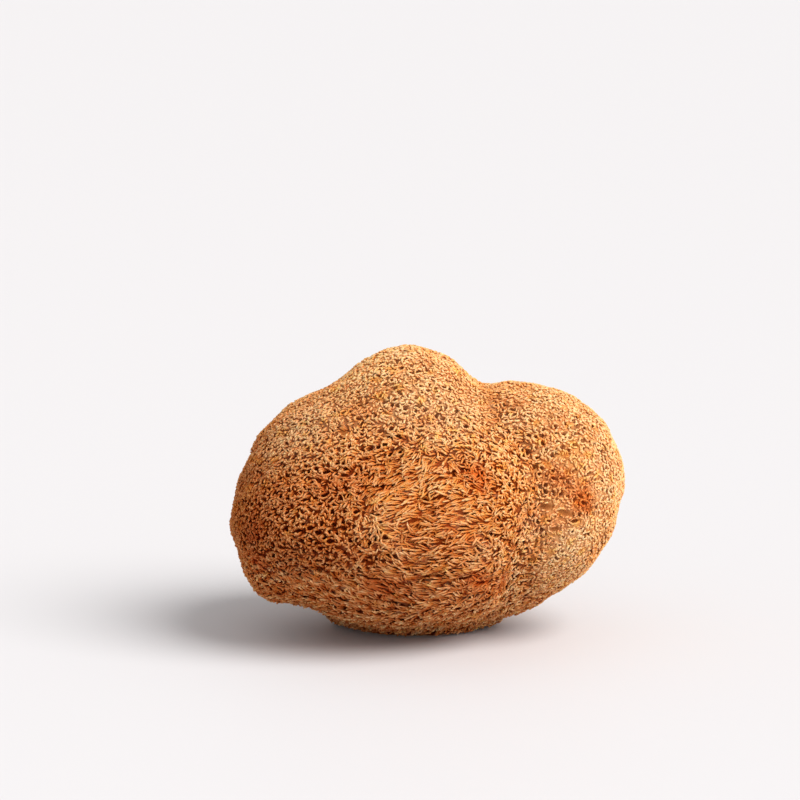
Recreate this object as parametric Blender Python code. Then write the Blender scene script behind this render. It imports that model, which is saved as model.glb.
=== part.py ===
"""Dried lion's mane mushroom: one fruiting body, a lobed ball of flesh covered in short spines.

Metres, +Z up. The origin is the middle of the flat cut where the stem was, +X is the long way of
the body and its fullest side faces -Y. The form is a smooth union of egg-shaped lobes. A ball of
quads is laid on it one spine's length below the tips, cut flat at the stem, and each quad is then
drawn up into one spine, combed the way the spines of the growing body hung.
"""
from collections import namedtuple
import math

import bmesh
import bpy
from mathutils import Vector
import numpy as np

MM = 0.001

Lobe = namedtuple("Lobe", "centre radii")

# The lobes in millimetres: where each is centred, and its half width, half depth and half height.
MAIN_LOBES = {
    "front": Lobe((-5.5, -11.0, 22.5), (28.0, 25.0, 15.0)),
    "shoulder": Lobe((6.5, -7.5, 29.5), (19.5, 22.0, 14.0)),
    "left": Lobe((-13.5, -4.5, 28.5), (18.0, 21.0, 16.5)),
    "left_low": Lobe((-27.0, -9.0, 14.5), (3.5, 11.5, 6.0)),
    "foot": Lobe((-0.5, -8.0, 13.5), (20.5, 19.0, 10.0)),
    "crown": Lobe((-1.5, -2.5, 36.0), (14.0, 17.5, 18.0)),
    "back": Lobe((-1.0, 5.5, 24.0), (26.0, 20.0, 21.5)),
    "stem": Lobe((0.0, 0.5, 3.5), (15.5, 10.0, 6.0)),
}
SIDE_LOBES = {
    "right": Lobe((22.5, -4.5, 30.5), (16.0, 16.5, 14.5)),
    "right_low": Lobe((22.5, -6.5, 22.0), (12.5, 15.0, 12.5)),
    "right_top": Lobe((17.0, -2.5, 34.0), (13.0, 13.0, 11.5)),
    "right_foot": Lobe((15.5, -4.0, 15.0), (10.5, 11.5, 11.5)),
}
LOBE_BLEND = 3.2 * MM          # how softly the lobes of one group run into each other
CREASE_BLEND = 1.0 * MM        # how softly the side group meets the main one, at the crease
CORE = (1.0 * MM, -5.5 * MM, 25.0 * MM)   # a point deep inside, from which all of the surface is seen
REACH = 70.0 * MM              # further from the core than any tip
REACH_STEP = 1.0 * MM          # between the depths tried along a way out of the core
HALVINGS = 14                  # of that step, to close in on the surface

LUMP_HEIGHT = 0.55 * MM        # broad unevenness of the flesh
LUMP_LENGTH = 15.0 * MM        # from one lump to the next
# Two sets of crossed waves make the lumps. A row is one wave: how fast it runs along x, y and z, and its phase.
BROAD_WAVES = ((0.9, 0.5, 0.0, 1.3), (-0.3, 0.0, 0.8, 0.4), (0.0, 0.7, 0.4, 0.0))
SMALL_WAVES = ((1.9, 0.0, -0.8, 2.1), (0.0, 1.1, 1.7, 0.0), (-0.9, 1.8, 0.0, 0.7))
BROAD_SHARE = 0.75
SMALL_SHARE = 0.35

CELLS = 20                     # quads along each edge of the starting cube
RELAX_ROUNDS = 16
RELAX_SHARE = 0.5              # of the way to its neighbours' middle that a corner goes in one round
CELL_SIZE = 2.2 * MM           # about the side of one quad once laid on the form
JITTER = 0.27                  # sideways scatter of the quads' corners, of a cell's side

SPINE_LENGTH = 1.9 * MM
LENGTH_SPREAD = 0.20           # of the length, either way
GROWTH_WAY = (-0.67, -0.74, 0.0)   # the way the tips hung while the body grew, lying on its side
LEAN = 0.36                    # how far a tip leans that way, of its length
TIP_SCATTER = 0.12             # of the length
TIP_CLEARANCE = 0.4 * MM       # the lowest tips stay this far above the cut
BARE_RIM = 1.2 * MM            # the strip above the cut where the knife took the spines off
NEAR_CUT = 0.35 * MM           # corners this near the cut are moved onto it
RIM_MERGE = 0.70 * MM          # corners of the cut's rim nearer than this become one
ON_CUT = 0.001 * MM            # a corner no further than this from the cut is on it

LEAST_SLOPE = 1e-9             # keeps a division clear of zero at a lobe's centre

SEED = 11


def lobe_distance(points, lobe):
    """How far each point is outside one lobe, about: negative inside it."""
    radii = np.array(lobe.radii) * MM
    scaled = (points - np.array(lobe.centre) * MM) / radii
    size = np.linalg.norm(scaled, axis=-1)
    slope = np.linalg.norm(scaled / radii, axis=-1)
    return size * (size - 1.0) / np.maximum(slope, LEAST_SLOPE)


def smooth_union(distances, softness):
    distances = np.array(distances)
    nearest = distances.min(axis=0)
    return nearest - softness * np.log(np.exp((nearest - distances) / softness).sum(axis=0))


def crossed_waves(points, waves):
    """The product of these waves at each point."""
    phase = points * (2.0 * math.pi / LUMP_LENGTH)
    return np.prod([np.sin(phase @ np.array(wave[:3]) + wave[3]) for wave in waves], axis=0)


def lumps(points):
    """Broad lumps, between about -1 and 1."""
    return BROAD_SHARE * crossed_waves(points, BROAD_WAVES) + SMALL_SHARE * crossed_waves(points, SMALL_WAVES)


def form_distance(points):
    """How far each point is outside the surface that the tips reach."""
    main = smooth_union([lobe_distance(points, lobe) for lobe in MAIN_LOBES.values()], LOBE_BLEND)
    side = smooth_union([lobe_distance(points, lobe) for lobe in SIDE_LOBES.values()], LOBE_BLEND)
    return smooth_union([main, side], CREASE_BLEND) - LUMP_HEIGHT * lumps(points)


def surface_points(ways, depth):
    """The outermost point on each way out of the core that is this deep under the tips."""
    core = np.array(CORE)
    low = np.zeros(len(ways))
    high = np.full(len(ways), REACH)
    found = np.zeros(len(ways), dtype=bool)
    for reach in np.arange(REACH, 0.0, -REACH_STEP):
        inside = form_distance(core + ways * reach) < -depth
        new = inside & ~found
        low[new] = reach
        high[new] = reach + REACH_STEP
        found |= inside
    for _ in range(HALVINGS):
        middle = (low + high) / 2.0
        inside = form_distance(core + ways * middle[:, None]) < -depth
        low = np.where(inside, middle, low)
        high = np.where(inside, high, middle)
    return core + ways * low[:, None]


def lay_on_form(mesh, depth):
    """Slides every vertex along its own way out of the core onto the form."""
    spots = np.array([vert.co for vert in mesh.verts]) - np.array(CORE)
    ways = spots / np.linalg.norm(spots, axis=1, keepdims=True)
    for vert, spot in zip(mesh.verts, surface_points(ways, depth)):
        vert.co = Vector(spot)


def make_ball(mesh):
    """A ball of even quads round the core: a cube cut into a grid and blown up."""
    bmesh.ops.create_cube(mesh, size=2.0)
    bmesh.ops.subdivide_edges(mesh, edges=mesh.edges[:], cuts=CELLS - 1, use_grid_fill=True)
    for vert in mesh.verts:
        even = Vector(math.tan(value * math.pi / 4.0) for value in vert.co)
        vert.co = Vector(CORE) + even.normalized() * REACH


def settle(mesh, depth):
    """Evens the quads out over the lobes, then scatters their corners a little."""
    for _ in range(RELAX_ROUNDS):
        bmesh.ops.smooth_vert(
            mesh, verts=mesh.verts[:], factor=RELAX_SHARE, use_axis_x=True, use_axis_y=True, use_axis_z=True
        )
        lay_on_form(mesh, depth)
    draw = np.random.default_rng(SEED)
    for vert, shift in zip(mesh.verts, draw.uniform(-1.0, 1.0, (len(mesh.verts), 3))):
        vert.co += Vector(shift) * JITTER * CELL_SIZE
    lay_on_form(mesh, depth)


def cut_stem(mesh):
    """Cuts everything below the ground off flat and closes the cut with one face."""
    for vert in mesh.verts:
        if abs(vert.co.z) < NEAR_CUT:
            vert.co.z = 0.0
    everything = mesh.verts[:] + mesh.edges[:] + mesh.faces[:]
    bmesh.ops.bisect_plane(
        mesh, geom=everything, dist=0.1 * ON_CUT, plane_co=(0.0, 0.0, 0.0), plane_no=(0.0, 0.0, -1.0),
        clear_outer=True,
    )
    rim = [vert for vert in mesh.verts if abs(vert.co.z) < ON_CUT]
    bmesh.ops.remove_doubles(mesh, verts=rim, dist=RIM_MERGE)
    flat = [face for face in mesh.faces if max(abs(vert.co.z) for vert in face.verts) < ON_CUT]
    bmesh.ops.delete(mesh, geom=flat, context="FACES")
    open_edges = [edge for edge in mesh.edges if edge.is_boundary]
    bmesh.ops.contextual_create(mesh, geom=open_edges)
    bmesh.ops.recalc_face_normals(mesh, faces=mesh.faces[:])


def raise_spines(mesh):
    """Draws each quad above the cut's rim up into one spine that leans the way the tips hung."""
    draw = np.random.default_rng(SEED + 1)
    spiny = [face for face in mesh.faces if min(vert.co.z for vert in face.verts) >= BARE_RIM]
    middles = [face.calc_center_median() for face in spiny]
    normals = [face.normal.copy() for face in spiny]
    growth = Vector(GROWTH_WAY).normalized()
    for face, middle, normal in zip(spiny, middles, normals):
        (tip,) = bmesh.ops.poke(mesh, faces=[face])["verts"]
        length = SPINE_LENGTH * (1.0 + LENGTH_SPREAD * draw.uniform(-1.0, 1.0))
        combed = growth - normal * growth.dot(normal)
        scatter = Vector(draw.normal(0.0, TIP_SCATTER, 3))
        way = normal + combed * LEAN + scatter
        tip.co = middle + way.normalized() * length
        tip.co.z = max(tip.co.z, TIP_CLEARANCE)


def make_material():
    material = bpy.data.materials.new("dried_spines")
    material.use_nodes = True
    shader = material.node_tree.nodes["Principled BSDF"]
    shader.inputs["Base Color"].default_value = (0.52, 0.25, 0.10, 1.0)
    shader.inputs["Roughness"].default_value = 0.85
    shader.inputs["Metallic"].default_value = 0.0
    return material


def make_fruiting_body(collection):
    mesh = bmesh.new()
    make_ball(mesh)
    lay_on_form(mesh, SPINE_LENGTH)
    settle(mesh, SPINE_LENGTH)
    cut_stem(mesh)
    raise_spines(mesh)
    data = bpy.data.meshes.new("fruiting_body")
    mesh.to_mesh(data)
    mesh.free()
    data.materials.append(make_material())
    body = bpy.data.objects.new("fruiting_body", data)
    collection.objects.link(body)


def main():
    for old in list(bpy.data.objects):
        bpy.data.objects.remove(old, do_unlink=True)
    collection = bpy.data.collections.new("lions_mane_mushroom")
    bpy.context.scene.collection.children.link(collection)
    make_fruiting_body(collection)


main()
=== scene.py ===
"""Dried lion's mane mushroom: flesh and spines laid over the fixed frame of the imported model.

Metres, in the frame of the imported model: +Z up, the origin in the middle of the cut where the stem
was, and the fullest side towards -Y. The flesh is a fine ball laid on the lobes, a little under the
surface that the tips reach. One spine is modelled once and then copied some thirty-five thousand
times, each copy bent along its own path, so that the coat is combed the way it grew.
"""
from collections import namedtuple
import math

import bpy
from bpy.props import FloatProperty, FloatVectorProperty, IntProperty, PointerProperty
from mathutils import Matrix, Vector
from mathutils.kdtree import KDTree
import numpy as np


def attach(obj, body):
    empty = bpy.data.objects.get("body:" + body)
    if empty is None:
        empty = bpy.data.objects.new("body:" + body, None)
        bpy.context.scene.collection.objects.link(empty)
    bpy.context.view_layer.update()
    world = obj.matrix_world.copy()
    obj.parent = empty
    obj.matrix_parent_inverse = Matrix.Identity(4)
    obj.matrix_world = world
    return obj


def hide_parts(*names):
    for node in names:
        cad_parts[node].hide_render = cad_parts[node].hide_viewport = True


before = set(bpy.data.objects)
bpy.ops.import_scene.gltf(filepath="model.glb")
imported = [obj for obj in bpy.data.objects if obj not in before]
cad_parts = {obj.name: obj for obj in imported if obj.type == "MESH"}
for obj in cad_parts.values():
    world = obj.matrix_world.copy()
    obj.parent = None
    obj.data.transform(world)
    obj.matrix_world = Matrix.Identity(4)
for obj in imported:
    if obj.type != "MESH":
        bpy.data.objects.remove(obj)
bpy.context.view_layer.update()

bl_info = {
    "name": "Dried lion's mane mushroom",
    "version": (1, 0, 0),
    "blender": (4, 5, 0),
    "location": "3D View > Sidebar > Mushroom",
    "description": "Grows the flesh and the spines of a dried lion's mane mushroom on its lobes",
    "category": "Add Mesh",
}

MM = 0.001
BODY = "root"
NODE = "fruiting_body"

# The lobes of the solid, in millimetres: centre, then half width, half depth and half height.
MAIN_LOBES = {
    "front": ((-5.5, -11.0, 22.5), (28.0, 25.0, 15.0)),
    "shoulder": ((6.5, -7.5, 29.5), (19.5, 22.0, 14.0)),
    "left": ((-13.5, -4.5, 28.5), (18.0, 21.0, 16.5)),
    "left_low": ((-27.0, -9.0, 14.5), (3.5, 11.5, 6.0)),
    "foot": ((-0.5, -8.0, 13.5), (20.5, 19.0, 10.0)),
    "crown": ((-1.5, -2.5, 36.0), (14.0, 17.5, 18.0)),
    "back": ((-1.0, 5.5, 24.0), (26.0, 20.0, 21.5)),
    "stem": ((0.0, 0.5, 3.5), (15.5, 10.0, 6.0)),
}
SIDE_LOBES = {
    "right": ((22.5, -4.5, 30.5), (16.0, 16.5, 14.5)),
    "right_low": ((22.5, -6.5, 22.0), (12.5, 15.0, 12.5)),
    "right_top": ((17.0, -2.5, 34.0), (13.0, 13.0, 11.5)),
    "right_foot": ((15.5, -4.0, 15.0), (10.5, 11.5, 11.5)),
}
LOBE_BLEND = 3.2 * MM  # how softly the lobes of one group run into each other
CREASE_BLEND = 1.0 * MM  # and how softly the two groups meet
CORE = np.array((1.0, -5.5, 25.0)) * MM  # all of the surface is seen from here
REACH = 70.0 * MM  # further from the core than any tip
REACH_STEP = 2.0 * MM  # between the distances tried, from REACH inwards
HALVINGS = 13  # of that step, to close in on it
NORMAL_STEP = 0.2 * MM  # either side, to tell which way the form faces
LEAST_SLOPE = 1e-9  # keeps a division clear of zero in a lobe
LEAST_LENGTH = 1e-12  # and in a direction that has no length
LUMP_HEIGHT = 0.55 * MM
LUMP_LENGTH = 15.0 * MM
# Crossed waves make the lumps. A row is a wave: how fast it runs along x, y and z, then its phase
BROAD_WAVES = ((0.9, 0.5, 0.0, 1.3), (-0.3, 0.0, 0.8, 0.4), (0.0, 0.7, 0.4, 0.0))
SMALL_WAVES = ((1.9, 0.0, -0.8, 2.1), (0.0, 1.1, 1.7, 0.0), (-0.9, 1.8, 0.0, 0.7))
BROAD_SHARE = 0.75
SMALL_SHARE = 0.35
RIPPLE_WAVES = 9  # that cross in one ripple

GROWTH_WAY = np.array((-0.67, -0.74, 0.0))  # how the tips hung as it grew

PHOTO_SIDE = 800  # pixels along each side of the picture
GROUND_PIXEL = (428.0, 632.0)  # where GROUND_POINT shows in it
GROUND_POINT = Vector((2.0, -6.5, 0.0)) * MM
CAMERA_DISTANCE = 0.6
CAMERA_ELEVATION = math.radians(13.0)
PIXEL_SIZE = 0.19036 * MM  # of the picture, at the ground point
SENSOR = 36.0
CLIP = (0.01, 20.0)  # the nearest and the furthest that the camera sees


def a_length(name, description, default):
    """A setting that is a length; its default is in millimetres."""
    return FloatProperty(name=name, description=description, default=default * MM, unit="LENGTH")


def a_colour(name, description, default):
    return FloatVectorProperty(name=name, description=description, default=default, subtype="COLOR")


class FleshSettings(bpy.types.PropertyGroup):
    halves: IntProperty(
        name="Halves", description="Quads along half of each side of the starting cube", default=58
    )
    depth: a_length("Depth", "How far the matted flesh lies under the tips", 0.62)
    furrow: a_length("Furrow", "How much deeper the mat lies where the combed coat parts", 0.72)
    relief: a_length("Relief", "Height of the mat's own small lumps", 0.10)
    pit_spacing: a_length("Pit spacing", "Least distance between two pits", 1.12)
    pit_size: a_length("Pit size", "From a pit's middle to that of the spines round it", 0.42)
    pit_depth: a_length("Pit depth", "How far a pit goes down into the mat", 1.10)
    # The dark mat and pit colours are partly the flesh's own red-brown, partly painted shade between
    # the spines and down in the pits.
    mat: a_colour("Mat", "Colour of the matted flesh", (0.30, 0.052, 0.004))
    matted: a_colour("Matted", "Colour where the coat is matted smooth", (0.74, 0.33, 0.100))
    pit: a_colour("Pit", "Colour down in the pits", (0.26, 0.034, 0.003))
    cut: a_colour("Cut", "Colour of the cut where the stem was", (0.66, 0.47, 0.27))


class SpineSettings(bpy.types.PropertyGroup):
    spacing: a_length("Spacing", "Least distance between two roots", 0.415)
    radius: a_length("Radius", "Half the thickness of a spine", 0.195)
    combed: a_length("Combed reach", "How far along the surface a combed spine goes", 2.4)
    loose: a_length("Loose reach", "How far along the surface an uncombed spine goes", 0.88)
    # Root, middle and tip colours get lighter the further out a spine lies: partly the spine's own
    # colour, partly painted shade deep in the coat and painted highlight at the tips.
    root: a_colour("Root", "Colour down at the mat", (0.35, 0.042, 0.002))
    middle: a_colour("Middle", "Colour half way up", (0.76, 0.275, 0.058))
    tip: a_colour("Tip", "Colour where the coat is outermost", (0.97, 0.58, 0.265))


class PatchSettings(bpy.types.PropertyGroup):
    rust: a_colour("Rust", "What the red-brown patches multiply the colours by", (0.78, 0.40, 0.20))
    gold: a_colour("Gold", "What the golden flecks multiply the colours by", (1.0, 0.86, 0.42))
    pale: a_colour("Pale", "Colour of the bleached patches", (0.86, 0.61, 0.34))
    # Brown is partly real browning, partly painted shade on the left and low down, away from the light.
    brown: a_colour("Brown", "What the browned side multiplies the colours by", (0.54, 0.32, 0.22))


class StageSettings(bpy.types.PropertyGroup):
    floor: a_colour("Floor", "Colour of the floor", (0.72, 0.71, 0.73))
    key: FloatProperty(name="Key", description="Strength of the main light", default=3.38)
    fill: FloatProperty(name="Fill", description="Strength of the front light", default=0.40)
    sky: FloatProperty(name="Sky", description="Strength of the light from all round", default=0.54)


# The form

def lobe_distance(points, lobe):
    """How far each point is outside one lobe, about: negative inside it."""
    centre, radii = np.array(lobe) * MM
    scaled = (points - centre) / radii
    size = np.linalg.norm(scaled, axis=-1)
    slope = np.linalg.norm(scaled / radii, axis=-1)
    return size * (size - 1.0) / np.maximum(slope, LEAST_SLOPE)


def smooth_union(distances, softness):
    distances = np.array(distances)
    nearest = distances.min(axis=0)
    return nearest - softness * np.log(np.exp((nearest - distances) / softness).sum(axis=0))


def crossed_waves(points, waves):
    """The product of these waves at each point."""
    phase = points * (2.0 * math.pi / LUMP_LENGTH)
    return np.prod([np.sin(phase @ np.array(wave[:3]) + wave[3]) for wave in waves], axis=0)


def lumps(points):
    """Broad lumps, between about -1 and 1."""
    broad = BROAD_SHARE * crossed_waves(points, BROAD_WAVES)
    return broad + SMALL_SHARE * crossed_waves(points, SMALL_WAVES)


def form_distance(points):
    """How far each point is outside the surface that the tips reach."""
    main = smooth_union([lobe_distance(points, lobe) for lobe in MAIN_LOBES.values()], LOBE_BLEND)
    side = smooth_union([lobe_distance(points, lobe) for lobe in SIDE_LOBES.values()], LOBE_BLEND)
    return smooth_union([main, side], CREASE_BLEND) - LUMP_HEIGHT * lumps(points)


def unit(vectors):
    return vectors / np.maximum(np.linalg.norm(vectors, axis=-1, keepdims=True), LEAST_LENGTH)


def form_normal(points):
    """The outward direction of the form at each point, from how its distance changes."""
    steps = np.eye(3) * NORMAL_STEP
    slope = [form_distance(points + step) - form_distance(points - step) for step in steps]
    return unit(np.stack(slope, axis=-1))


def surface_points(ways, depth):
    """The outermost point on each way out of the core that is this deep under the tips."""
    low = np.zeros(len(ways))
    high = np.full(len(ways), REACH)
    found = np.zeros(len(ways), dtype=bool)
    for reach in np.arange(REACH, 0.0, -REACH_STEP):
        inside = form_distance(CORE + ways * reach) < -depth
        new = inside & ~found
        low[new] = reach
        high[new] = reach + REACH_STEP
        found |= inside
    for _ in range(HALVINGS):
        middle = (low + high) / 2.0
        inside = form_distance(CORE + ways * middle[:, None]) < -depth
        low = np.where(inside, middle, low)
        high = np.where(inside, high, middle)
    return CORE + ways * low[:, None]


def ripple(points, kind):
    """Smooth unevenness, mostly between -1 and 1: waves of one kind that cross in all directions."""
    draw = np.random.default_rng(kind.seed)
    ways = unit(draw.normal(size=(RIPPLE_WAVES, 3)))
    phases = draw.uniform(0.0, 2.0 * math.pi, RIPPLE_WAVES)
    waves = np.sin(points @ ways.T * (2.0 * math.pi / (kind.length * MM)) + phases)
    return waves.sum(axis=-1) / math.sqrt(RIPPLE_WAVES)


def smooth_step(low, high, values):
    share = np.clip((values - low) / (high - low), 0.0, 1.0)
    return share * share * (3.0 - 2.0 * share)


def past(band, values):
    """From 0 before this band, in millimetres, to 1 past it."""
    return smooth_step(band[0] * MM, band[1] * MM, values)


# Waves over the coat: about how long in millimetres, the seed of their draw, and how strong
Waves = namedtuple("Waves", "length seed strength")

COMB_SWINGS = Waves(10.0, 21, np.radians(10.0))
COMB_WAVERS = Waves(2.8, 22, np.radians(15.0))
STRAYING = Waves(2.6, 23, 2.2)
LOCK_CURLS = Waves(2.2, 24, 0.60)
BROWN_SHADE_WAVES = Waves(14.0, 35, 0.10)
PIT_WAVES = Waves(9.0, 8, 0.08)
BROAD_RELIEF = Waves(2.1, 5, 0.6)
SMALL_RELIEF = Waves(1.1, 6, 0.4)

# Flecks are the crests of such waves, from the height low, where they begin, to high
Flecks = namedtuple("Flecks", "length seed low high strength")

RUST_PATCHES = Flecks(11.0, 31, 0.55, 1.50, 0.18)
RUST_FLECKS = Flecks(3.6, 32, 0.70, 1.50, 0.40)
GOLD_FLECKS = Flecks(3.1, 36, 0.45, 1.35, 0.65)
PALE_PATCHES = Flecks(8.0, 33, 0.75, 1.70, 0.35)
PALE_FLECKS = Flecks(2.3, 34, 0.90, 1.60, 0.60)
LIGHT_TIPS = Flecks(1.9, 37, 0.00, 0.90, 1.00)
PARTINGS = Flecks(2.3, 41, 0.20, 0.85, 1.00)
PARTING_RUN = np.array((0.24, 0.80, 1.0))  # the partings are long in x and narrow in z

# Heights, or places across, in millimetres, between which one kind of coat passes into another
FRINGE_BAND = (13.0, 24.0)
CROWN_BAND = (36.0, 47.0)
SIDE_BAND = (17.0, 25.0)
SHAGGY_BAND = (5.0, 13.0)
UNCOMBED_BAND = (3.0, 10.0)
COMBED_SLOPES = (0.45, 0.80)  # how much of the growth's way lies along the surface
BROWN_SHADE_RUN = (5.0, 34.0)  # how far right the brown and its painted shade begin, and over how far they deepen
BROWN_SHADE_HEIGHT = 27.0

# A row is one spot: its centre's x, y and z and its spread, in millimetres, then its strength
RUST_SPOTS = (
    (10.8, -28.9, 14.5, 2.8, 1.00), (13.5, -25.4, 12.3, 3.0, 0.45), (30.8, -20.3, 28.1, 2.6, 1.20),
    (10.4, -28.1, 35.4, 2.4, 0.80), (11.5, -29.7, 32.8, 2.4, 0.70), (5.0, -33.8, 27.9, 3.0, 0.25),
    (-16.5, -29.5, 32.0, 3.6, 0.65), (-6.6, -33.4, 15.1, 3.0, 0.70), (-29.7, -25.2, 23.4, 2.4, 0.80),
    (-10.5, -30.5, 33.0, 3.2, 0.40), (-24.5, -27.5, 30.0, 3.0, 0.35), (-4.0, -32.5, 13.6, 3.6, 0.40),
    (-28.9, -23.8, 17.5, 2.4, 0.55), (26.0, -22.2, 24.4, 3.4, 0.40), (24.8, -21.9, 33.2, 2.6, 0.45),
    (27.6, -21.1, 31.8, 2.8, 0.60), (18.2, -12.3, 45.1, 2.2, 0.30), (26.1, -15.7, 41.5, 2.2, 0.30),
)
PALE_SPOTS = (
    (12.0, -31.5, 21.0, 2.8, 0.55), (29.4, -20.3, 19.9, 3.4, 0.55), (21.5, -24.1, 23.6, 3.0, 0.40),
    (-6.5, -35.7, 26.2, 3.2, 0.40), (-3.3, -36.4, 21.6, 2.8, 0.40), (8.2, -33.0, 26.3, 2.0, 0.35),
    (4.0, -19.0, 44.0, 8.5, 0.60), (8.1, -1.8, 50.7, 0.9, 2.00), (-21.8, -31.1, 19.0, 3.2, 0.40),
    (-22.5, -16.0, 40.5, 8.5, 0.75), (-26.5, -25.7, 16.0, 2.4, 0.35), (11.0, -23.2, 8.4, 2.4, 0.40),
    (28.0, -17.0, 14.5, 4.0, 0.35), (27.6, -20.4, 19.4, 1.5, 0.90), (29.2, -18.0, 17.0, 1.5, 0.80),
    (18.6, -21.3, 13.9, 1.2, 0.90), (36.3, -14.4, 30.8, 6.0, 0.30), (-2.6, -6.9, 53.7, 3.0, 0.40),
    (18.9, -16.6, 42.2, 4.0, 0.30),
)
GOLD_SPOTS = (
    (7.6, -6.5, 50.2, 1.3, 0.90), (29.5, -19.5, 36.0, 3.0, 0.35), (-31.0, -18.0, 27.0, 4.0, 0.35),
)
COMBED_SPOTS = (
    (5.0, -34.0, 26.0, 12.0, 1.00), (2.0, -31.0, 13.0, 12.0, 1.00), (-18.0, -28.0, 13.0, 10.0, 0.90),
    (-3.0, -30.0, 35.0, 7.0, 0.60), (-8.0, 22.0, 26.0, 17.0, 0.80),
)
OPEN_SPOTS = (
    (-21.1, -29.8, 28.9, 9.0, 0.20), (-15.7, -27.6, 34.0, 4.5, 0.45), (-6.5, -25.8, 38.3, 4.5, 0.50),
    (-6.0, -33.9, 15.9, 3.5, 0.25), (24.0, -19.0, 36.0, 7.0, 0.15), (0.0, -22.0, 45.0, 7.0, 0.12),
)

# Marks that the spines go round: the centre and half the height in millimetres, how many times
# wider than high, how many degrees it falls to the right, and the share of a pit's depth dug
Mark = namedtuple("Mark", "centre size stretch fall dig")

HOLES = (
    Mark((23.0, -22.9, 23.0), 0.64, 1.0, 0.0, 1.0),
    Mark((9.7, -25.3, 38.6), 0.60, 1.0, 0.0, 1.0),
    Mark((18.9, -21.0, 13.8), 0.58, 1.6, 60.0, 1.0),
    Mark((18.1, -18.6, 10.4), 0.52, 1.5, 50.0, 1.0),
)
BRUISES = (
    Mark((23.9, -22.9, 27.3), 0.66, 2.3, 4.0, 0.20),
    Mark((27.4, -21.7, 26.0), 0.62, 3.0, 18.0, 0.12),
    Mark((25.4, -22.3, 23.1), 0.56, 2.2, -6.0, 0.25),
)
MARKS = HOLES + BRUISES
DENT = (34.6, -12.8, 18.0, 1.9, 1.60)  # a spot where the outline steps in, and how deep


def turned(way, across, angle):
    """The way, turned by this angle towards the way across it."""
    return way * np.cos(angle)[:, None] + across * np.sin(angle)[:, None]


def near_spots(points, spots):
    """How strongly these spots mark each point; each fades out round its centre."""
    total = np.zeros(len(points))
    for *centre, spread, strength in spots:
        gap = (points - np.array(centre) * MM) / (spread * MM)
        total += strength * np.exp(-(gap ** 2).sum(axis=-1))
    return total


def flecks(points, kind):
    """How strongly flecks of this kind mark each point."""
    return smooth_step(kind.low, kind.high, ripple(points, kind)) * kind.strength


def rustiness(points):
    """How red-brown each point is, from 0 to 1."""
    spots = near_spots(points, RUST_SPOTS)
    return np.clip(spots + flecks(points, RUST_PATCHES) + flecks(points, RUST_FLECKS), 0.0, 1.0)


def goldness(points):
    """How golden each point is, from 0 to 1."""
    return np.clip(near_spots(points, GOLD_SPOTS) + flecks(points, GOLD_FLECKS), 0.0, 1.0)


def fringe(points):
    """Flecks of light tips low down, where the coat hangs coarse, from 0 to 1."""
    return flecks(points, LIGHT_TIPS) * (1.0 - past(FRINGE_BAND, points[:, 2]))


def paleness(points):
    """How bleached each point is, from 0 to 1."""
    pale = near_spots(points, PALE_SPOTS) + 0.38 * mattedness(points)
    pale = pale + flecks(points, PALE_PATCHES) + flecks(points, PALE_FLECKS) + 0.8 * fringe(points)
    return np.clip(pale, 0.0, 1.0)


def brown_and_shade(points):
    """How far the side away from the light is browned and darkened, from 0 to 1: partly real browning,
    partly painted shade to the left and low down.
    """
    start, run = BROWN_SHADE_RUN
    left = -(points[:, 0] - start * MM) / (run * MM)
    low = (BROWN_SHADE_HEIGHT * MM - points[:, 2]) / (BROWN_SHADE_HEIGHT * MM)
    shade = 0.60 * left + 0.88 * low + BROWN_SHADE_WAVES.strength * ripple(points, BROWN_SHADE_WAVES)
    return smooth_step(-0.55, 0.95, shade) * (1.0 - 0.7 * fringe(points))


def mattedness(points):
    """How smooth the coat is matted, from 0 to 1: most over the crown and the side lobe."""
    high = past(CROWN_BAND, points[:, 2])
    side = past(SIDE_BAND, points[:, 0])
    return 1.0 - (1.0 - 0.75 * high) * (1.0 - 0.9 * side)


def shagginess(points):
    """How far the tips stand off, from 0 to 1: most of all low down."""
    low = 1.0 - past(SHAGGY_BAND, points[:, 2])
    return np.clip(0.25 + 0.75 * low, 0.0, 1.0) * (1.0 - mattedness(points))


# Grooves, each from the top down, in millimetres: the crease left of the side lobe, and a crack
Groove = namedtuple("Groove", "line depth width")

CREASE_TOP = Groove((
    (12.3, -1.1, 47.2), (14.2, -9.5, 45.5), (15.4, -16.2, 42.4), (19.9, -20.9, 37.5),
    (23.3, -22.5, 32.0),
), 0.35, 1.5)
CREASE = Groove((
    (22.9, -22.8, 29.5), (22.6, -23.6, 26.9), (18.9, -25.9, 21.7), (18.6, -23.6, 17.5),
    (17.2, -21.7, 13.3), (16.4, -17.0, 8.5), (14.5, -12.0, 5.0),
), 0.95, 1.3)
CRACK = Groove(((22.3, -22.9, 35.2), (22.6, -22.9, 31.5), (22.4, -23.2, 28.6)), 0.45, 0.40)


def sinking(points):
    """How much lower than the lobes the coat lies: in the grooves and in the dent."""
    total = near_spots(points, [DENT])
    for groove in (CREASE_TOP, CREASE, CRACK):
        nearest = np.full(len(points), 1.0)
        for start, end in zip(groove.line, groove.line[1:]):
            start, run = np.array(start) * MM, (np.array(end) - np.array(start)) * MM
            share = np.clip(((points - start) @ run) / (run @ run), 0.0, 1.0)
            nearest = np.minimum(nearest, np.linalg.norm(points - start - share[:, None] * run, axis=1))
        total += groove.depth * np.exp(-(nearest / (groove.width * MM)) ** 2)
    return total * MM


def locks(points):
    """How far each point is in the combed front or the combed back, from 0 to 1."""
    return np.clip(near_spots(points, COMBED_SPOTS), 0.0, 1.0)


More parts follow.
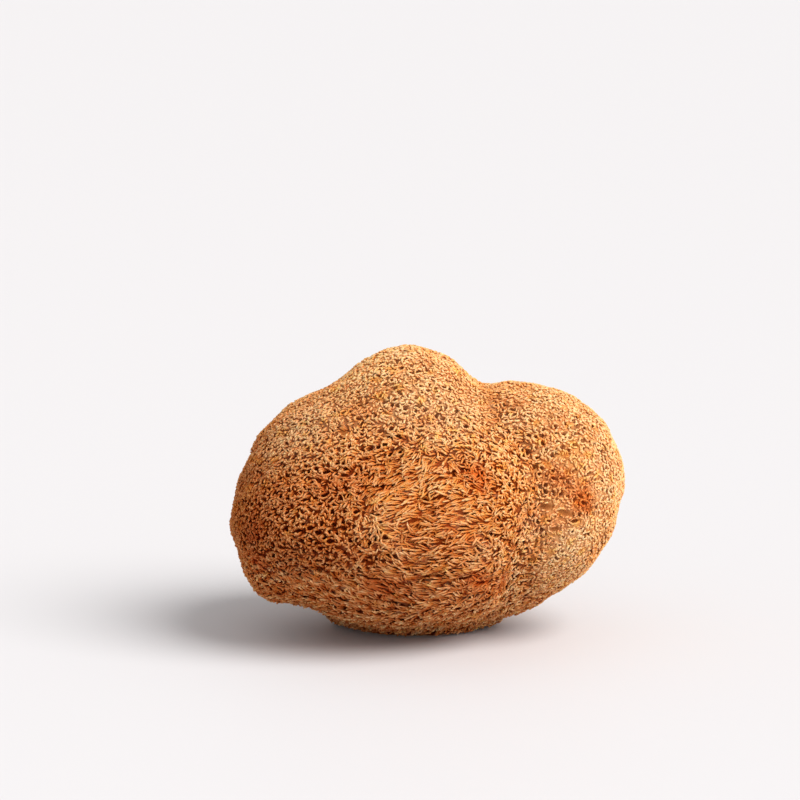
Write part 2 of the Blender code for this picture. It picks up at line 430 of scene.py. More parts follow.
def combing(points, normal):
    """The way the spines were combed at each point, and how strongly, from 0 to 1."""
    growth = unit(GROWTH_WAY)
    tangent = growth - normal * (normal @ growth)[:, None]
    slope = np.linalg.norm(tangent, axis=1)
    tangent = unit(tangent)
    turn = COMB_SWINGS.strength * ripple(points, COMB_SWINGS)
    turn = turn + COMB_WAVERS.strength * ripple(points, COMB_WAVERS)
    way = turned(tangent, np.cross(normal, tangent), turn)
    combed = smooth_step(*COMBED_SLOPES, slope) * (1.0 - 0.9 * mattedness(points))
    combed *= 0.35 + 0.65 * locks(points)
    return way, combed * (1.0 - 0.5 * (1.0 - past(UNCOMBED_BAND, points[:, 2])))


def furrows(points):
    """Where the combed coat parts, from 0 to 1, in lines that run the way it was combed."""
    return flecks(points * PARTING_RUN, PARTINGS) * (locks(points) * (1.0 - mattedness(points)))


def mat_depth(points, depth):
    """How far under the tips the mat lies: least where the coat is matted, most where it is open."""
    opened = np.clip(near_spots(points, OPEN_SPOTS), 0.0, 1.0)
    return depth * (1.0 - 0.48 * mattedness(points)) * (1.0 + 1.4 * opened)


# Mesh tools

def clear_selection():
    for each in list(bpy.context.selected_objects):
        each.select_set(False)
    bpy.context.view_layer.objects.active = None


def add_object(name, data):
    made = bpy.data.objects.new(name, data)
    bpy.context.scene.collection.objects.link(made)
    return made


def edit_all():
    bpy.ops.object.mode_set(mode="EDIT")
    bpy.ops.mesh.select_all(action="SELECT")


def read_all(items, name, kind=np.int32, width=1):
    """This value of each of the items, in rows where it's more than one number wide."""
    values = np.empty(len(items) * width, dtype=kind)
    items.foreach_get(name, values)
    return values.reshape(-1, width) if width > 1 else values


def read_points(mesh):
    return read_all(mesh.vertices, "co", np.float32, 3).astype(float)


def write_points(mesh, spots):
    mesh.vertices.foreach_set("co", spots.astype(np.float32).ravel())
    mesh.update()


def add_attribute(mesh, name, values):
    layer = mesh.attributes.new(name, "FLOAT", "POINT")
    layer.data.foreach_set("value", np.asarray(values, dtype=np.float32))


def add_colour_fields(mesh, points):
    """Keeps how rusty, golden, pale and brown the mesh is at each of its points; the brown is partly
    painted shade.
    """
    fields = {"rust": rustiness, "gold": goldness, "pale": paleness, "brown": brown_and_shade}
    for name, field in fields.items():
        add_attribute(mesh, name, field(points))


def plant(points):
    """A tree of the points, for finding the nearest."""
    tree = KDTree(len(points))
    for index, point in enumerate(points):
        tree.insert(point, index)
    tree.balance()
    return tree


def scatter(points, spacing):
    """Keeps the points, in order, that no point kept before has within its own spacing."""
    tree = plant(points)
    gone = np.zeros(len(points), dtype=bool)
    kept = []
    for index, point in enumerate(points):
        if gone[index]:
            continue
        kept.append(index)
        for _, near, _ in tree.find_range(point, spacing[index]):
            gone[near] = True
    return np.array(kept)


# Materials

class Link:
    """A node's output that sums can be written with: each operator adds its Math node."""

    def __init__(self, board, socket):
        self.board = board
        self.socket = socket

    def maths(self, operation, *values):
        return self.board.node("ShaderNodeMath", {"operation": operation}, dict(enumerate(values)))

    def __add__(self, other):
        return self.maths("ADD", self, other)

    def __radd__(self, other):
        return self.maths("ADD", other, self)

    def __sub__(self, other):
        return self.maths("SUBTRACT", self, other)

    def __rsub__(self, other):
        return self.maths("SUBTRACT", other, self)

    def __mul__(self, other):
        return self.maths("MULTIPLY", self, other)


class Board:
    """The nodes of one new material."""

    def __init__(self, name):
        self.material = bpy.data.materials.new(name)
        self.material.use_nodes = True
        self.tree = self.material.node_tree
        self.shader = self.tree.nodes["Principled BSDF"]

    def plug(self, socket, value):
        if isinstance(value, Link):
            self.tree.links.new(value.socket, socket)
        elif isinstance(value, (int, float)):
            socket.default_value = value
        else:
            room = len(socket.default_value)
            socket.default_value = (tuple(value) + (1.0,))[:room]

    def node(self, kind, settings, inputs, output=0):
        """Adds a node of this kind, with its settings, then its inputs' values or links."""
        made = self.tree.nodes.new(kind)
        for name, value in settings.items():
            if name == "stops":
                self.set_stops(made.color_ramp, value)
            else:
                setattr(made, name, value)
        for name, value in inputs.items():
            self.plug(made.inputs[name], value)
        return Link(self, made.outputs[output])

    @staticmethod
    def set_stops(ramp, stops):
        while len(ramp.elements) < len(stops):
            ramp.elements.new(1.0)
        for element, (place, colour) in zip(ramp.elements, stops):
            element.position = place
            element.color = (*colour, 1.0)

    def here(self):
        return self.node("ShaderNodeTexCoord", {}, {}, "Object")

    def attribute(self, name):
        return self.node("ShaderNodeAttribute", {"attribute_name": name}, {}, "Fac")

    def noise(self, scale, detail, roughness, distortion=0.0):
        """Noise of Object coordinates; the scale is in cells to the metre."""
        inputs = {"Vector": self.here(), "Scale": scale, "Detail": detail, "Roughness": roughness}
        return self.node("ShaderNodeTexNoise", {}, {**inputs, "Distortion": distortion})

    def band(self, value, low, high, smooth=True):
        """0 below low and 1 above high."""
        settings = {"interpolation_type": "SMOOTHSTEP" if smooth else "LINEAR"}
        inputs = {"Value": value, "From Min": low, "From Max": high}
        return self.node("ShaderNodeMapRange", settings, inputs)

    def mix(self, share, first, second, blend="MIX"):
        settings = {"data_type": "RGBA", "blend_type": blend}
        return self.node("ShaderNodeMix", settings, {0: share, 6: first, 7: second}, 2)

    def multiply(self, first, second):
        return self.mix(1.0, first, second, "MULTIPLY")

    def bump(self, height, strength, distance):
        inputs = {"Strength": strength, "Distance": distance, "Height": height}
        return self.node("ShaderNodeBump", {}, inputs)

    def finish(self, **inputs):
        for name, value in inputs.items():
            self.plug(self.shader.inputs[name.replace("_", " ")], value)
        return self.material


GRAIN_CELLS = 1800.0  # to the metre
FIBRE_CELLS = 2400.0
PORE_CELLS = 900.0
GRAIN_BUMP = 0.05 * MM
FIBRE_BUMP = 0.25 * MM
LIGHT_SPREAD = 0.4 * MM  # how far light goes inside a spine
TINTS = ((1.01, 0.95, 0.89), (1.00, 1.02, 1.04))
MAT_GAPS = (0.70, 0.58, 0.48)
BRUISE = ((0.20, 0.050, 0.011), (0.46, 0.160, 0.042))
CUT_FIBRE = (0.50, 0.30, 0.14)
CUT_PORE = (0.22, 0.10, 0.04)


def weathered(board, colour, look, outer):
    """The colour with its bleached, rusty and golden patches and its brown, partly painted shade, by
    how far out it lies.
    """
    colour = board.mix(board.attribute("pale") * (outer * 0.50 + 0.15), colour, look.pale)
    colour = board.mix(board.attribute("rust"), colour, look.rust, "MULTIPLY")
    colour = board.mix(board.attribute("gold"), colour, look.gold, "MULTIPLY")
    # Brown weighs more deeper in the coat: partly real browning, partly painted shade.
    return board.mix(board.attribute("brown") * (1.06 - outer * 0.14), colour, look.brown, "MULTIPLY")


def spine_material(look, patches):
    """Tan where a spine lies outermost, red-brown down at the mat, with a tint for each spine; the dark
    down low is partly painted shade and the light tips partly painted highlight.
    """
    board = Board("spines_dried")
    tint = board.attribute("tint")
    # Darker the deeper under the tips: partly the spine's own colour, partly painted shade; the lighter
    # tips are partly painted highlight.
    stops = ((0.04, look.root), (0.55, look.middle), (0.96, look.tip))
    height = board.attribute("exposed") + (tint - 0.5) * 0.18
    colour = board.node("ShaderNodeValToRGB", {"stops": stops}, {"Fac": height})
    colour = board.multiply(colour, board.mix(tint.maths("FRACT", tint * 7.31), *TINTS))
    colour = weathered(board, colour, patches, board.band(board.attribute("exposed"), 0.0, 1.0, False))
    grain = board.noise(GRAIN_CELLS, 2.0, 0.6)
    value = tint * 0.12 + 0.88 + grain * 0.12
    grey = board.node("ShaderNodeCombineColor", {}, {0: value, 1: value, 2: value})
    colour = board.multiply(colour, grey)
    return board.finish(
        Base_Color=colour, Roughness=0.74 + grain * 0.2, Specular_IOR_Level=0.05,
        Normal=board.bump(grain, 0.25, GRAIN_BUMP), Subsurface_Weight=0.25,
        Subsurface_Scale=LIGHT_SPREAD, Subsurface_Radius=(1.0, 0.45, 0.2),
    )


def flesh_material(look, patches):
    """The tan mat with dark pits and bruises in it, and a pale spongy face where the stem was cut; the
    dark of the open mat and of the pits is partly painted shade.
    """
    board = Board("flesh_dried")
    cut = board.attribute("cut")
    pit = board.attribute("pit")
    bruise = board.attribute("bruise")
    fibre = board.noise(FIBRE_CELLS, 3.0, 0.65, 1.2)
    # Dark mat and darker pits: partly the flesh's own colour, partly painted shade under the spines.
    mat = board.mix(board.attribute("matted"), look.mat, look.matted)
    mat = board.mix(board.band(fibre, 0.35, 0.62), board.multiply(mat, MAT_GAPS), mat)
    colour = weathered(board, board.mix(pit, mat, look.pit), patches, (1.0 - pit) * 0.4)
    colour = board.mix(bruise, colour, board.mix(fibre, *BRUISE))
    holes = board.node("ShaderNodeTexVoronoi", {}, {"Vector": board.here(), "Scale": PORE_CELLS})
    pore = board.band(holes, 0.08, 0.32)
    face = board.mix(pore, CUT_PORE, board.mix(board.band(fibre, 0.3, 0.7), CUT_FIBRE, look.cut))
    bump = board.bump(fibre * 0.5 + pore * cut, 0.8, FIBRE_BUMP)
    return board.finish(
        Base_Color=board.mix(cut, colour, face), Roughness=0.86, Specular_IOR_Level=0.06, Normal=bump
    )


# The flesh

MAP_MARGIN = 0.03  # round each side of the cube, of its room on the map
ON_CUT = 0.01 * MM  # what is no higher is on the cut
CUT_REACH = 0.001 * MM  # corners nearer to the knife's plane are on it


def ball_layout(mesh):
    """Lays the sides of the starting cube out side by side, as the map that a bake uses."""
    layer = mesh.uv_layers.new(name="OFBake")
    sizes = read_all(mesh.polygons, "loop_total")
    middles = read_all(mesh.polygons, "center", np.float32, 3)
    axis = np.abs(middles).argmax(axis=1)
    side = axis * 2 + (middles[np.arange(len(middles)), axis] > 0)
    side = np.repeat(side, sizes)
    axis = np.repeat(axis, sizes)
    corner = read_points(mesh)[read_all(mesh.loops, "vertex_index")]
    across = corner[np.arange(len(corner)), (axis + 1) % 3]
    along = corner[np.arange(len(corner)), (axis + 2) % 3]
    inner = 1.0 - 2.0 * MAP_MARGIN
    u = (side % 3 + MAP_MARGIN + (across + 1.0) / 2.0 * inner) / 3.0
    v = (side // 3 + MAP_MARGIN + (along + 1.0) / 2.0 * inner) / 2.0
    layer.data.foreach_set("uv", np.stack([u, v], axis=-1).astype(np.float32).ravel())


Pits = namedtuple("Pits", "centre normal way size stretch dig tree")

PIT_SEED = 3
PIT_TRIES = 70000
CLEAR_OF_CUT = 1.0 * MM  # no spine or pit is nearer to the cut than this
NEARBY_PITS = 3
COMBED_SHUT = 0.85  # of the pits, how many the combed spines close
OPENNESS = (0.60, 1.75)  # how wide the narrowest and the widest pits open
PIT_SIZES = (0.62, 1.32)  # how pits that open alike still differ
PIT_STRETCH = (1.0, 1.8)  # how many times longer than wide they are
PIT_SPIN = 1.3  # how far they turn from the combed way, in radians
PIT_WALL = (0.45, 1.15)  # where a pit's wall starts and ends, in its own widths


def place_pits(settings):
    """Spreads pits over the mat round the marks: long ones where the spines were combed."""
    draw = np.random.default_rng(PIT_SEED)
    tries = surface_points(unit(draw.normal(size=(PIT_TRIES, 3))), settings.depth)
    tries = tries[tries[:, 2] > CLEAR_OF_CUT]
    centres = np.concatenate([np.array([mark.centre for mark in MARKS]) * MM, tries])
    count = len(centres)
    normal = form_normal(centres)
    way, order = combing(centres, normal)
    openness = 0.90 - 0.14 * order + near_spots(centres, OPEN_SPOTS)
    openness = np.clip(openness + PIT_WAVES.strength * ripple(centres, PIT_WAVES), *OPENNESS)
    sizes = settings.pit_size * openness * draw.uniform(*PIT_SIZES, count) * (1.0 - 0.25 * order)
    spacing = settings.pit_spacing * (0.50 + 0.55 * openness)
    stretch = draw.uniform(*PIT_STRETCH, count) + 0.6 * order
    spin = draw.uniform(-PIT_SPIN, PIT_SPIN, count) * (1.0 - order)
    way = turned(way, np.cross(normal, way), spin)
    dig = np.ones(count)
    for index, mark in enumerate(MARKS):
        level = unit(np.cross((0.0, 0.0, 1.0), normal[index]))
        fall = math.radians(mark.fall)
        way[index] = level * math.cos(fall) + np.cross(normal[index], level) * -math.sin(fall)
        sizes[index], stretch[index], dig[index] = mark.size * MM, mark.stretch, mark.dig
        spacing[index] = mark.size * MM * (0.6 + mark.stretch)
    kept = scatter(centres, spacing)
    closed = draw.uniform(size=len(kept)) < COMBED_SHUT * order[kept]
    kept = kept[(kept < len(MARKS)) | ~closed]
    fields = [values[kept] for values in (centres, normal, way, sizes, stretch, dig)]
    return Pits(*fields, plant(centres[kept]))


def pit_offsets(points, pits):
    """For each point, its nearest pit and where it lies in that pit, in the pit's own widths."""
    find = pits.tree.find_n
    near = np.array([[index for _, index, _ in find(point, NEARBY_PITS)] for point in points])
    offset = points[:, None] - pits.centre[near]
    way = pits.way[near]
    across = np.cross(pits.normal[near], way)
    size = pits.size[near]
    along = (offset * way).sum(axis=-1) / (size * pits.stretch[near])
    aside = (offset * across).sum(axis=-1) / size
    best = np.hypot(along, aside).argmin(axis=1)
    row = np.arange(len(points))
    return near[row, best], along[row, best], aside[row, best]


def dig_flesh(mesh, settings):
    """Lays the starting cube's grid on the lobes, under the spines, and sinks the pits in it."""
    ways = unit(np.tan(read_points(mesh) * math.pi / 4.0))
    laid = surface_points(ways, settings.depth)
    pits = place_pits(settings)
    index, along, aside = pit_offsets(laid, pits)
    inside = 1.0 - smooth_step(*PIT_WALL, np.hypot(along, aside))
    dig = pits.dig[index]
    relief = BROAD_RELIEF.strength * ripple(laid, BROAD_RELIEF)
    relief = relief + SMALL_RELIEF.strength * ripple(laid, SMALL_RELIEF)
    rise = relief * settings.relief * np.where(dig < 1.0, 1.0 - inside, 1.0)
    dug = inside * dig * (settings.pit_depth * (1.0 - 0.15 * mattedness(laid)))
    rise += settings.depth - mat_depth(laid, settings.depth) - sinking(laid) - dug
    rise -= settings.furrow * furrows(laid)
    write_points(mesh, laid + form_normal(laid) * rise[:, None])
    add_attribute(mesh, "pit", np.where(dig == 1.0, inside, 0.0))
    add_attribute(mesh, "bruise", np.where(dig < 1.0, inside, 0.0))
    add_attribute(mesh, "matted", mattedness(laid))
    add_colour_fields(mesh, laid)


def make_flesh(settings):
    clear_selection()
    bpy.ops.mesh.primitive_cube_add(size=2.0, calc_uvs=False)
    flesh = bpy.context.active_object
    flesh.name = "flesh"
    edit_all()
    bpy.ops.mesh.subdivide(number_cuts=1)
    bpy.ops.mesh.subdivide(number_cuts=settings.halves - 1)
    bpy.ops.object.mode_set(mode="OBJECT")
    ball_layout(flesh.data)
    dig_flesh(flesh.data, settings)
    edit_all()
    bpy.ops.mesh.bisect(
        plane_co=(0.0, 0.0, 0.0), plane_no=(0.0, 0.0, -1.0), use_fill=True, clear_outer=True,
        threshold=CUT_REACH,
    )
    bpy.ops.mesh.normals_make_consistent(inside=False)
    bpy.ops.mesh.select_all(action="DESELECT")
    bpy.ops.object.mode_set(mode="OBJECT")
    flesh.data.shade_smooth()
    add_attribute(flesh.data, "cut", read_points(flesh.data)[:, 2] < ON_CUT)
    return flesh


# The spines

SPINE_SIDES = 4
SPINE_RINGS = ((0.40, 1.0), (0.86, 0.80))  # how far up, and how thick
CLOSE = 1e-6  # what is this close on the unit spine is in one place


def model_spine():
    """One spine, a unit thick and a unit high: a four-sided end drawn up in two lengths and closed."""
    clear_selection()
    bpy.ops.mesh.primitive_circle_add(vertices=SPINE_SIDES, fill_type="NGON", calc_uvs=False)
    spine = bpy.context.active_object
    spine.name = "spine_unit"
    edit_all()
    height, width = 0.0, 1.0
    for top, thickness in SPINE_RINGS:
        bpy.ops.mesh.extrude_region_move(TRANSFORM_OT_translate={"value": (0.0, 0.0, top - height)})
        scale = thickness / width
        bpy.ops.transform.resize(value=(scale, scale, 1.0), center_override=(0.0, 0.0, top))
        height, width = top, thickness
    bpy.ops.mesh.extrude_region_move(TRANSFORM_OT_translate={"value": (0.0, 0.0, 1.0 - height)})
    bpy.ops.mesh.merge(type="CENTER")
    bpy.ops.mesh.select_all(action="SELECT")
    bpy.ops.mesh.normals_make_consistent(inside=False)
    bpy.ops.object.mode_set(mode="OBJECT")
    return spine


def spine_layout(mesh):
    """Each corner's place in the spine's own cell of the bake's map: a strip a side, over the root."""
    places = []
    sides = float(SPINE_SIDES)
    first = next(vertex.co for vertex in mesh.vertices if vertex.co.z < CLOSE)
    start = math.atan2(first.y, first.x)
    for face in mesh.polygons:
        middle = face.center
        strip = math.floor(((math.atan2(middle.y, middle.x) - start) / (2.0 * math.pi)) % 1.0 * sides)
        for vertex in face.vertices:
            spot = mesh.vertices[vertex].co
            if middle.z < CLOSE:
                places.append((0.1 + 0.3 * (spot.x + 1.0), 0.02 + 0.03 * (spot.y + 1.0)))
                continue
            turn = ((math.atan2(spot.y, spot.x) - start) / (2.0 * math.pi)) % 1.0 * sides - strip
            if math.hypot(spot.x, spot.y) < CLOSE:
                across = 0.5
            else:
                across = 0.0 if (turn + 0.5) % sides < 1.0 else 1.0
            places.append(((strip + 0.04 + 0.92 * across) / sides, 0.12 + 0.86 * spot.z))
    return np.array(places)


def copy_spine(name, unit_mesh, layout, spines):
    """One mesh of many spines: each is the unit spine bent along its own path."""
    unit_spots = read_points(unit_mesh)
    levels = np.array([0.0] + [top for top, _ in SPINE_RINGS] + [1.0])
    level = np.abs(unit_spots[:, 2, None] - levels).argmin(axis=1)
    count, size = len(spines.path), len(unit_spots)
    heading = unit(np.gradient(spines.path, axis=1))
    side = unit(np.cross(heading, spines.side[:, None]))
    other = np.cross(heading, side)
    x = unit_spots[None, :, 0, None] * spines.radius[:, None, None]
    y = unit_spots[None, :, 1, None] * spines.radius[:, None, None]
    spots = (spines.path[:, level] + side[:, level] * x + other[:, level] * y).reshape(-1, 3)
    spots[:, 2] = np.maximum(spots[:, 2], GROUND_GAP)

    corners = read_all(unit_mesh.loops, "vertex_index")
    all_corners = (corners[None] + (np.arange(count, dtype=np.int32) * size)[:, None]).ravel()
    all_sizes = np.tile(read_all(unit_mesh.polygons, "loop_total"), count)
    starts = np.concatenate([[0], np.cumsum(all_sizes)[:-1]]).astype(np.int32)

    mesh = bpy.data.meshes.new(name)
    mesh.vertices.add(count * size)
    mesh.loops.add(len(all_corners))
    mesh.polygons.add(len(all_sizes))
    mesh.loops.foreach_set("vertex_index", all_corners)
    mesh.polygons.foreach_set("loop_start", starts)
    mesh.shade_smooth()
    write_points(mesh, spots)
    mesh.validate()
    grid = math.ceil(math.sqrt(count))
    index = np.arange(count)
    cell = np.stack([index % grid, index // grid], axis=-1)[:, None]
    layer = mesh.uv_layers.new(name="OFBake")
    layer.data.foreach_set("uv", ((cell + layout[None]) / grid).astype(np.float32).ravel())
    # How far out each point lies, for the colour ramp: painted shade down low, painted highlight at the
    # tips.
    depth = np.maximum(np.repeat(spines.depth, size), LEAST_DEPTH)
    # Spines in the grooves come out darker: painted shade in the crease and the crack.
    height = 1.0 + (form_distance(spots) + SINKING_LIT * sinking(spots)) / depth
    along = np.tile(levels[level], count)
    lean = TIP_LEAN * (1.0 - mattedness(spots))
    add_attribute(mesh, "exposed", height * (1.0 - lean) + along * lean)
    add_attribute(mesh, "tint", np.repeat(spines.tint, size))
    add_colour_fields(mesh, spots)
    return add_object(name, mesh)


Spines = namedtuple("Spines", "path side radius tint depth")

TIP_LEAN = 0.45  # of a spine's colour, how much goes by how near the tip it is
SINKING_LIT = 0.55  # of the depth of a groove, how much doesn't darken the spines in it; the rest darkens them as painted shade in the groove
LEAST_DEPTH = 0.64 * MM  # the colour down at the mat is never nearer to the tips than this

SEED = 7
TRIES_PER_SQUARE = 4.2  # points tried for each square as wide as the spacing
THINNED = (0.24, 0.22)  # how much further apart the matted and the combed spines are
GROUND_CLEARANCE = 0.30 * MM  # the middles of the lowest spines stay this far above the ground
GROUND_GAP = 0.02 * MM  # and their sides this far
PIT_HOLD = 0.42 * MM  # how far from its edge a pit still turns the spines
PIT_ROOM = 1.05  # how far from a pit's middle the spines pass, in its own widths
TIGHTEST_TURN = 0.40 * MM
MOST_CURL = 1.7  # radians from the root to the tip
STRAY_SPREAD = 0.20  # radians that one spine strays from its neighbours
CURL_SPREAD = 0.40
REACHES = (0.6, 1.3)  # how the spines differ in length
RADII = (0.74, 1.26)  # and in thickness
LOOSE_LOW = (0.04 * MM, 0.36 * MM)  # how far under the lobes a tip ends
COMBED_LOWER = (0.0, 0.24 * MM)  # and how much further where it is combed
MATTED_LOW = (0.14 * MM, 0.28 * MM)
SHAGGY_LIFT = (0.0, 0.50 * MM)  # how far out a tip stands where the coat is shaggy
# How far out of the mat a spine is at its root, each ring and its tip, then how far along its way
RISING_CLIMB = (-0.30, 0.50, 0.97, 1.04)
MATTED_CLIMB = (-0.30, 0.85, 1.00, 0.94)
COMBED_CLIMB = (-0.30, 0.78, 1.06, 0.92)
TRAVEL = (0.0, 0.34, 0.84, 1.0)
SECTORS = ("front", "right", "back_right", "back_left", "left")
FRONT_START = 0.35  # of a turn, to put the front sector first


def find_roots(flesh, spacing):
    """Roots spread evenly but at random over the mat between the pits, above the cut."""
    mesh = flesh.data
    mesh.calc_loop_triangles()
    corners = read_all(mesh.loop_triangles, "vertices", width=3)
    a, b, c = np.moveaxis(read_points(mesh)[corners], 1, 0)
    fields = [mesh.attributes[name].data for name in ("pit", "bruise")]
    bare = sum(read_all(field, "value", np.float32) for field in fields)[corners]
    area = np.linalg.norm(np.cross(b - a, c - a), axis=1) / 2.0
    draw = np.random.default_rng(SEED)
    tries = int(TRIES_PER_SQUARE * area.sum() / spacing ** 2)
    pick = draw.choice(len(area), size=tries, p=area / area.sum())
    u, v = draw.uniform(size=(2, tries))
    over = u + v > 1.0
    u, v = np.where(over, 1.0 - u, u)[:, None], np.where(over, 1.0 - v, v)[:, None]
    points = a[pick] * (1.0 - u - v) + b[pick] * u + c[pick] * v
    bare = bare[pick, 0] * (1.0 - u - v)[:, 0] + bare[pick, 1] * u[:, 0] + bare[pick, 2] * v[:, 0]
    points = points[(points[:, 2] > CLEAR_OF_CUT) & (bare < 0.5)]
    in_mat, in_locks = THINNED
    spacings = spacing * (1.0 + in_mat * mattedness(points) + in_locks * locks(points))
    return points[scatter(points, spacings)]


def clear_pits(points, heading, pits):
    """Moves points of spines that cross a pit sideways, round it."""
    pit, along, aside = pit_offsets(points, pits)
    way, normal, size = pits.way[pit], pits.normal[pit], pits.size[pit]
    across = np.cross(normal, way)
    stretch = pits.stretch[pit]
    run = [(heading * way).sum(axis=-1) / stretch, (heading * across).sum(axis=-1)]
    run = unit(np.stack(run, axis=-1))
    place = np.stack([along, aside], axis=-1)
    down = (place * run).sum(axis=-1)
    off = place[:, 0] * -run[:, 1] + place[:, 1] * run[:, 0]
    room = np.sqrt(np.maximum(PIT_ROOM ** 2 - down ** 2, 0.0))
    push = np.where(np.abs(off) < room, np.where(off < 0.0, -room, room) - off, 0.0)
    shift_along = -run[:, 1] * push * size * stretch
    shift_across = run[:, 0] * push * size
    return points + way * shift_along[:, None] + across * shift_across[:, None]


def round_pits(roots, normal, way, pits):
    """The way round each root's nearest pit, how tightly it turns, and how strongly the pit holds."""
    near = np.array([pits.tree.find(root)[1] for root in roots])
    offset = roots - pits.centre[near]
    offset -= normal * (offset * normal).sum(axis=1)[:, None]
    gap = np.linalg.norm(offset, axis=1)
    lead = unit(np.cross(normal, offset))
    hand = np.where((lead * way).sum(axis=1) < 0.0, -1.0, 1.0)
    hold = np.exp(-(np.maximum(gap - pits.size[near], 0.0) / PIT_HOLD) ** 2)
    return lead * hand[:, None], hand * hold / np.maximum(gap, TIGHTEST_TURN), hold


def spine_paths(roots, pits, settings, mat):
    """Where each spine goes: up out of the mat, then the way it was combed, round the pits."""
    draw = np.random.default_rng(SEED + 1)
    count = len(roots)
    normal = form_normal(roots)
    way, order = combing(roots, normal)
    across = np.cross(normal, way)
    stray = (1.0 - order) * STRAYING.strength * ripple(roots, STRAYING)
    stray += draw.normal(0.0, STRAY_SPREAD, count) * (1.0 - 0.60 * order)
    lead, turn, hold = round_pits(roots, normal, way, pits)
    pull = (0.8 * (1.0 - order) * hold)[:, None]
    heading = turned(way, across, stray) * (1.0 - pull) + lead * pull
    angle = np.arctan2((heading * across).sum(axis=1), (heading * way).sum(axis=1))
    matted = mattedness(roots)
    reach = settings.loose * (1.0 - 0.25 * matted) + (settings.combed - settings.loose) * order
    reach *= draw.uniform(*REACHES, count)
    curl = np.clip(turn * reach * (1.0 - 0.75 * order), -MOST_CURL, MOST_CURL)
    own_curl = draw.normal(0.0, CURL_SPREAD, count) * (1.0 - 0.65 * order)
    curl += own_curl + LOCK_CURLS.strength * ripple(roots, LOCK_CURLS) * order
    rising = draw.uniform(*LOOSE_LOW, count) + draw.uniform(*COMBED_LOWER, count) * order
    low = rising * (1.0 - matted) + draw.uniform(*MATTED_LOW, count) * matted
    low += sinking(roots)
    base = mat_depth(roots, mat.depth) + mat.furrow * furrows(roots)
    low += 0.75 * mat.furrow * furrows(roots)
    lift = shagginess(roots) * draw.uniform(*SHAGGY_LIFT, count)

    spots = roots
    reached = 0.0
    path = []
    for level, out in enumerate(TRAVEL):
        up = RISING_CLIMB[level] * (1.0 - order) + COMBED_CLIMB[level] * order
        up = up * (1.0 - matted) + MATTED_CLIMB[level] * matted
        step = turned(way, across, angle + curl * (out + reached) / 2.0)
        spots = spots + step * (reach * (out - reached))[:, None]
        reached = out
        placed = clear_pits(spots, step, pits) if level > 0 else spots
        under = (base + sinking(roots)) * (1.0 - up) + low * up - lift * out ** 2
        placed = placed - form_normal(placed) * (form_distance(placed) + under)[:, None]
        placed[:, 2] = np.maximum(placed[:, 2], GROUND_CLEARANCE)
        path.append(placed)
    side = unit(draw.normal(size=(count, 3)))
    radius = settings.radius * draw.uniform(*RADII, count) * (1.12 - 0.14 * order)
    return Spines(np.stack(path, axis=1), side, radius, draw.uniform(0.0, 1.0, count), base)


def make_spines(flesh, mat, settings, patches):
    unit_spine = model_spine()
    layout = spine_layout(unit_spine.data)
    spines = spine_paths(find_roots(flesh, settings.spacing), place_pits(mat), settings, mat)
    offset = spines.path[:, 0] - CORE
    turn = (np.arctan2(offset[:, 1], offset[:, 0]) / (2.0 * math.pi) + FRONT_START) % 1.0
    material = spine_material(settings, patches)
    pieces = []
    for name, members in zip(SECTORS, np.array_split(np.argsort(turn), len(SECTORS))):
        members = np.sort(members)
        part = Spines(*(values[members] for values in spines))
        piece = copy_spine("spines_" + name, unit_spine.data, layout, part)
        piece.data.materials.append(material)
        pieces.append(piece)
    bpy.data.objects.remove(unit_spine)
    return pieces


# The stage

FLOOR_SIZE = 24.0
SKY_COLOUR = (1.0, 0.985, 0.97, 1.0)

# A light: where it comes from, how many degrees of the sky it fills, and its colour
Light = namedtuple("Light", "way spread colour")

KEY = Light((0.62, -0.32, 0.72), 45.0, (1.0, 0.985, 0.96))
FILL = Light((0.35, -0.90, 0.35), 60.0, (0.98, 0.99, 1.0))


def make_floor(colour):
    clear_selection()
    bpy.ops.mesh.primitive_plane_add(size=FLOOR_SIZE)
    floor = bpy.context.active_object
    floor.name = "floor"
    board = Board("floor_plain")
    material = board.finish(Base_Color=tuple(colour), Roughness=0.6, Specular_IOR_Level=0.3)
    floor.data.materials.append(material)
    return floor


def add_light(name, look, strength):
    """A soft light, as even as from a large softbox."""
    data = bpy.data.lights.new(name, "SUN")
    data.angle = math.radians(look.spread)
    data.energy = strength
    data.color = look.colour
    light = add_object(name, data)
    light.rotation_euler = Vector(look.way).to_track_quat("Z", "Y").to_euler()


def make_camera():
    """A long lens at the photograph's height, turned to put the ground point on its pixel."""
    data = bpy.data.cameras.new("camera")
    pixels = CAMERA_DISTANCE / PIXEL_SIZE
    data.sensor_width = SENSOR
    data.lens = pixels / PHOTO_SIDE * SENSOR
    data.clip_start, data.clip_end = CLIP
    camera = add_object("camera", data)
    back = Vector((0.0, -math.cos(CAMERA_ELEVATION), math.sin(CAMERA_ELEVATION)))
    camera.location = GROUND_POINT + back * CAMERA_DISTANCE
    right_of_middle = math.atan((GROUND_PIXEL[0] - PHOTO_SIDE / 2.0) / pixels)
    below_middle = math.atan((GROUND_PIXEL[1] - PHOTO_SIDE / 2.0) / pixels)
    pitch = math.pi / 2.0 - CAMERA_ELEVATION + below_middle
    camera.rotation_euler = (pitch, 0.0, right_of_middle)
    bpy.context.scene.camera = camera


def make_sky(strength):
    world = bpy.data.worlds.new("soft_light")
    world.use_nodes = True
    background = world.node_tree.nodes["Background"]
    background.inputs["Color"].default_value = SKY_COLOUR
    background.inputs["Strength"].default_value = strength
    bpy.context.scene.world = world


# The add-on

class MUSHROOM_OT_flesh(bpy.types.Operator):
    """Makes the flesh that the spines grow from, cut flat where the stem was"""

    bl_idname = "mushroom.flesh"
    bl_label = "Make the flesh"

    def execute(self, context):
        scene = context.scene
        flesh = make_flesh(scene.mushroom_flesh)
        flesh.data.materials.append(flesh_material(scene.mushroom_flesh, scene.mushroom_patches))
        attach(flesh, BODY)
        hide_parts(NODE)
        return {"FINISHED"}


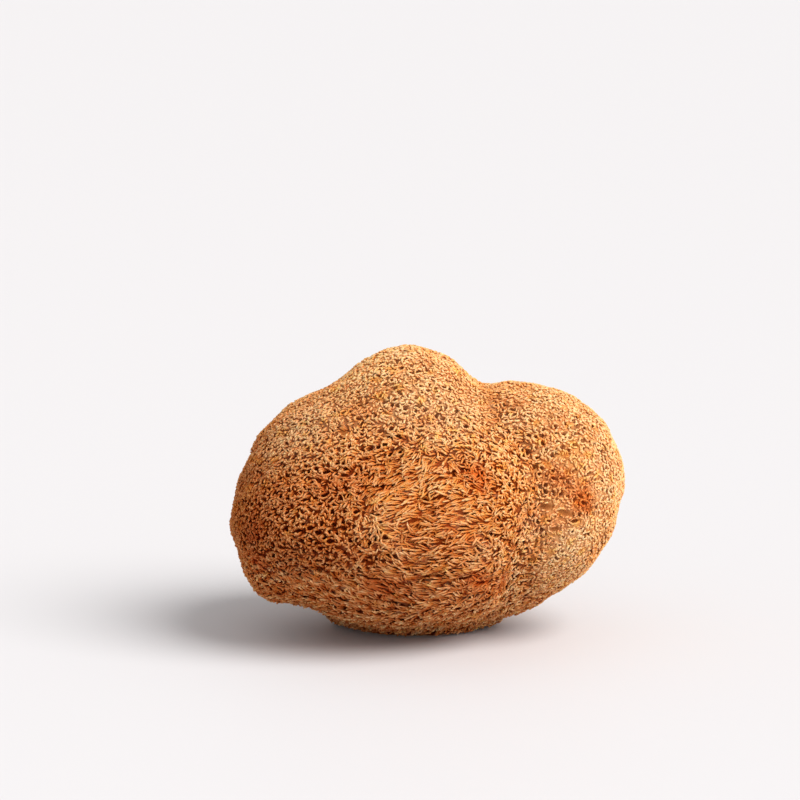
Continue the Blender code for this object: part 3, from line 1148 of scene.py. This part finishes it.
class MUSHROOM_OT_spines(bpy.types.Operator):
    """Grows the coat of spines on the flesh, in one piece for each side"""

    bl_idname = "mushroom.spines"
    bl_label = "Grow the spines"

    def execute(self, context):
        flesh = bpy.data.objects.get("flesh")
        if flesh is None:
            raise RuntimeError("make the flesh before the spines")
        scene = context.scene
        groups = (scene.mushroom_flesh, scene.mushroom_spines, scene.mushroom_patches)
        for piece in make_spines(flesh, *groups):
            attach(piece, BODY)
        return {"FINISHED"}


class MUSHROOM_OT_stage(bpy.types.Operator):
    """Sets the plain pale floor, the soft lights and the camera"""

    bl_idname = "mushroom.stage"
    bl_label = "Set the stage"

    def execute(self, context):
        stage = context.scene.mushroom_stage
        make_floor(stage.floor)
        add_light("key", KEY, stage.key)
        add_light("fill", FILL, stage.fill)
        make_sky(stage.sky)
        make_camera()
        context.scene.view_settings.view_transform = "Standard"
        return {"FINISHED"}


class MUSHROOM_PT_panel(bpy.types.Panel):
    bl_label = "Lion's mane mushroom"
    bl_space_type = "VIEW_3D"
    bl_region_type = "UI"
    bl_category = "Mushroom"

    def draw(self, context):
        for title, operator, settings in (
            ("Flesh", MUSHROOM_OT_flesh, context.scene.mushroom_flesh),
            ("Spines", MUSHROOM_OT_spines, context.scene.mushroom_spines),
            ("Patches", MUSHROOM_OT_spines, context.scene.mushroom_patches),
            ("Stage", MUSHROOM_OT_stage, context.scene.mushroom_stage),
        ):
            box = self.layout.box()
            box.label(text=title)
            for name in settings.bl_rna.properties.keys():
                if name not in {"rna_type", "name"}:
                    box.prop(settings, name)
            box.operator(operator.bl_idname)


CLASSES = (
    FleshSettings, SpineSettings, PatchSettings, StageSettings,
    MUSHROOM_OT_flesh, MUSHROOM_OT_spines, MUSHROOM_OT_stage, MUSHROOM_PT_panel,
)
GROUPS = {
    "mushroom_flesh": FleshSettings,
    "mushroom_spines": SpineSettings,
    "mushroom_patches": PatchSettings,
    "mushroom_stage": StageSettings,
}


def register():
    for each in CLASSES:
        bpy.utils.register_class(each)
    for name, group in GROUPS.items():
        setattr(bpy.types.Scene, name, PointerProperty(type=group))


def unregister():
    for name in GROUPS:
        delattr(bpy.types.Scene, name)
    for each in reversed(CLASSES):
        bpy.utils.unregister_class(each)


def main():
    register()
    bpy.ops.mushroom.stage()
    bpy.ops.mushroom.flesh()
    bpy.ops.mushroom.spines()
    clear_selection()
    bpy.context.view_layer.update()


if __name__ == "__main__":
    main()
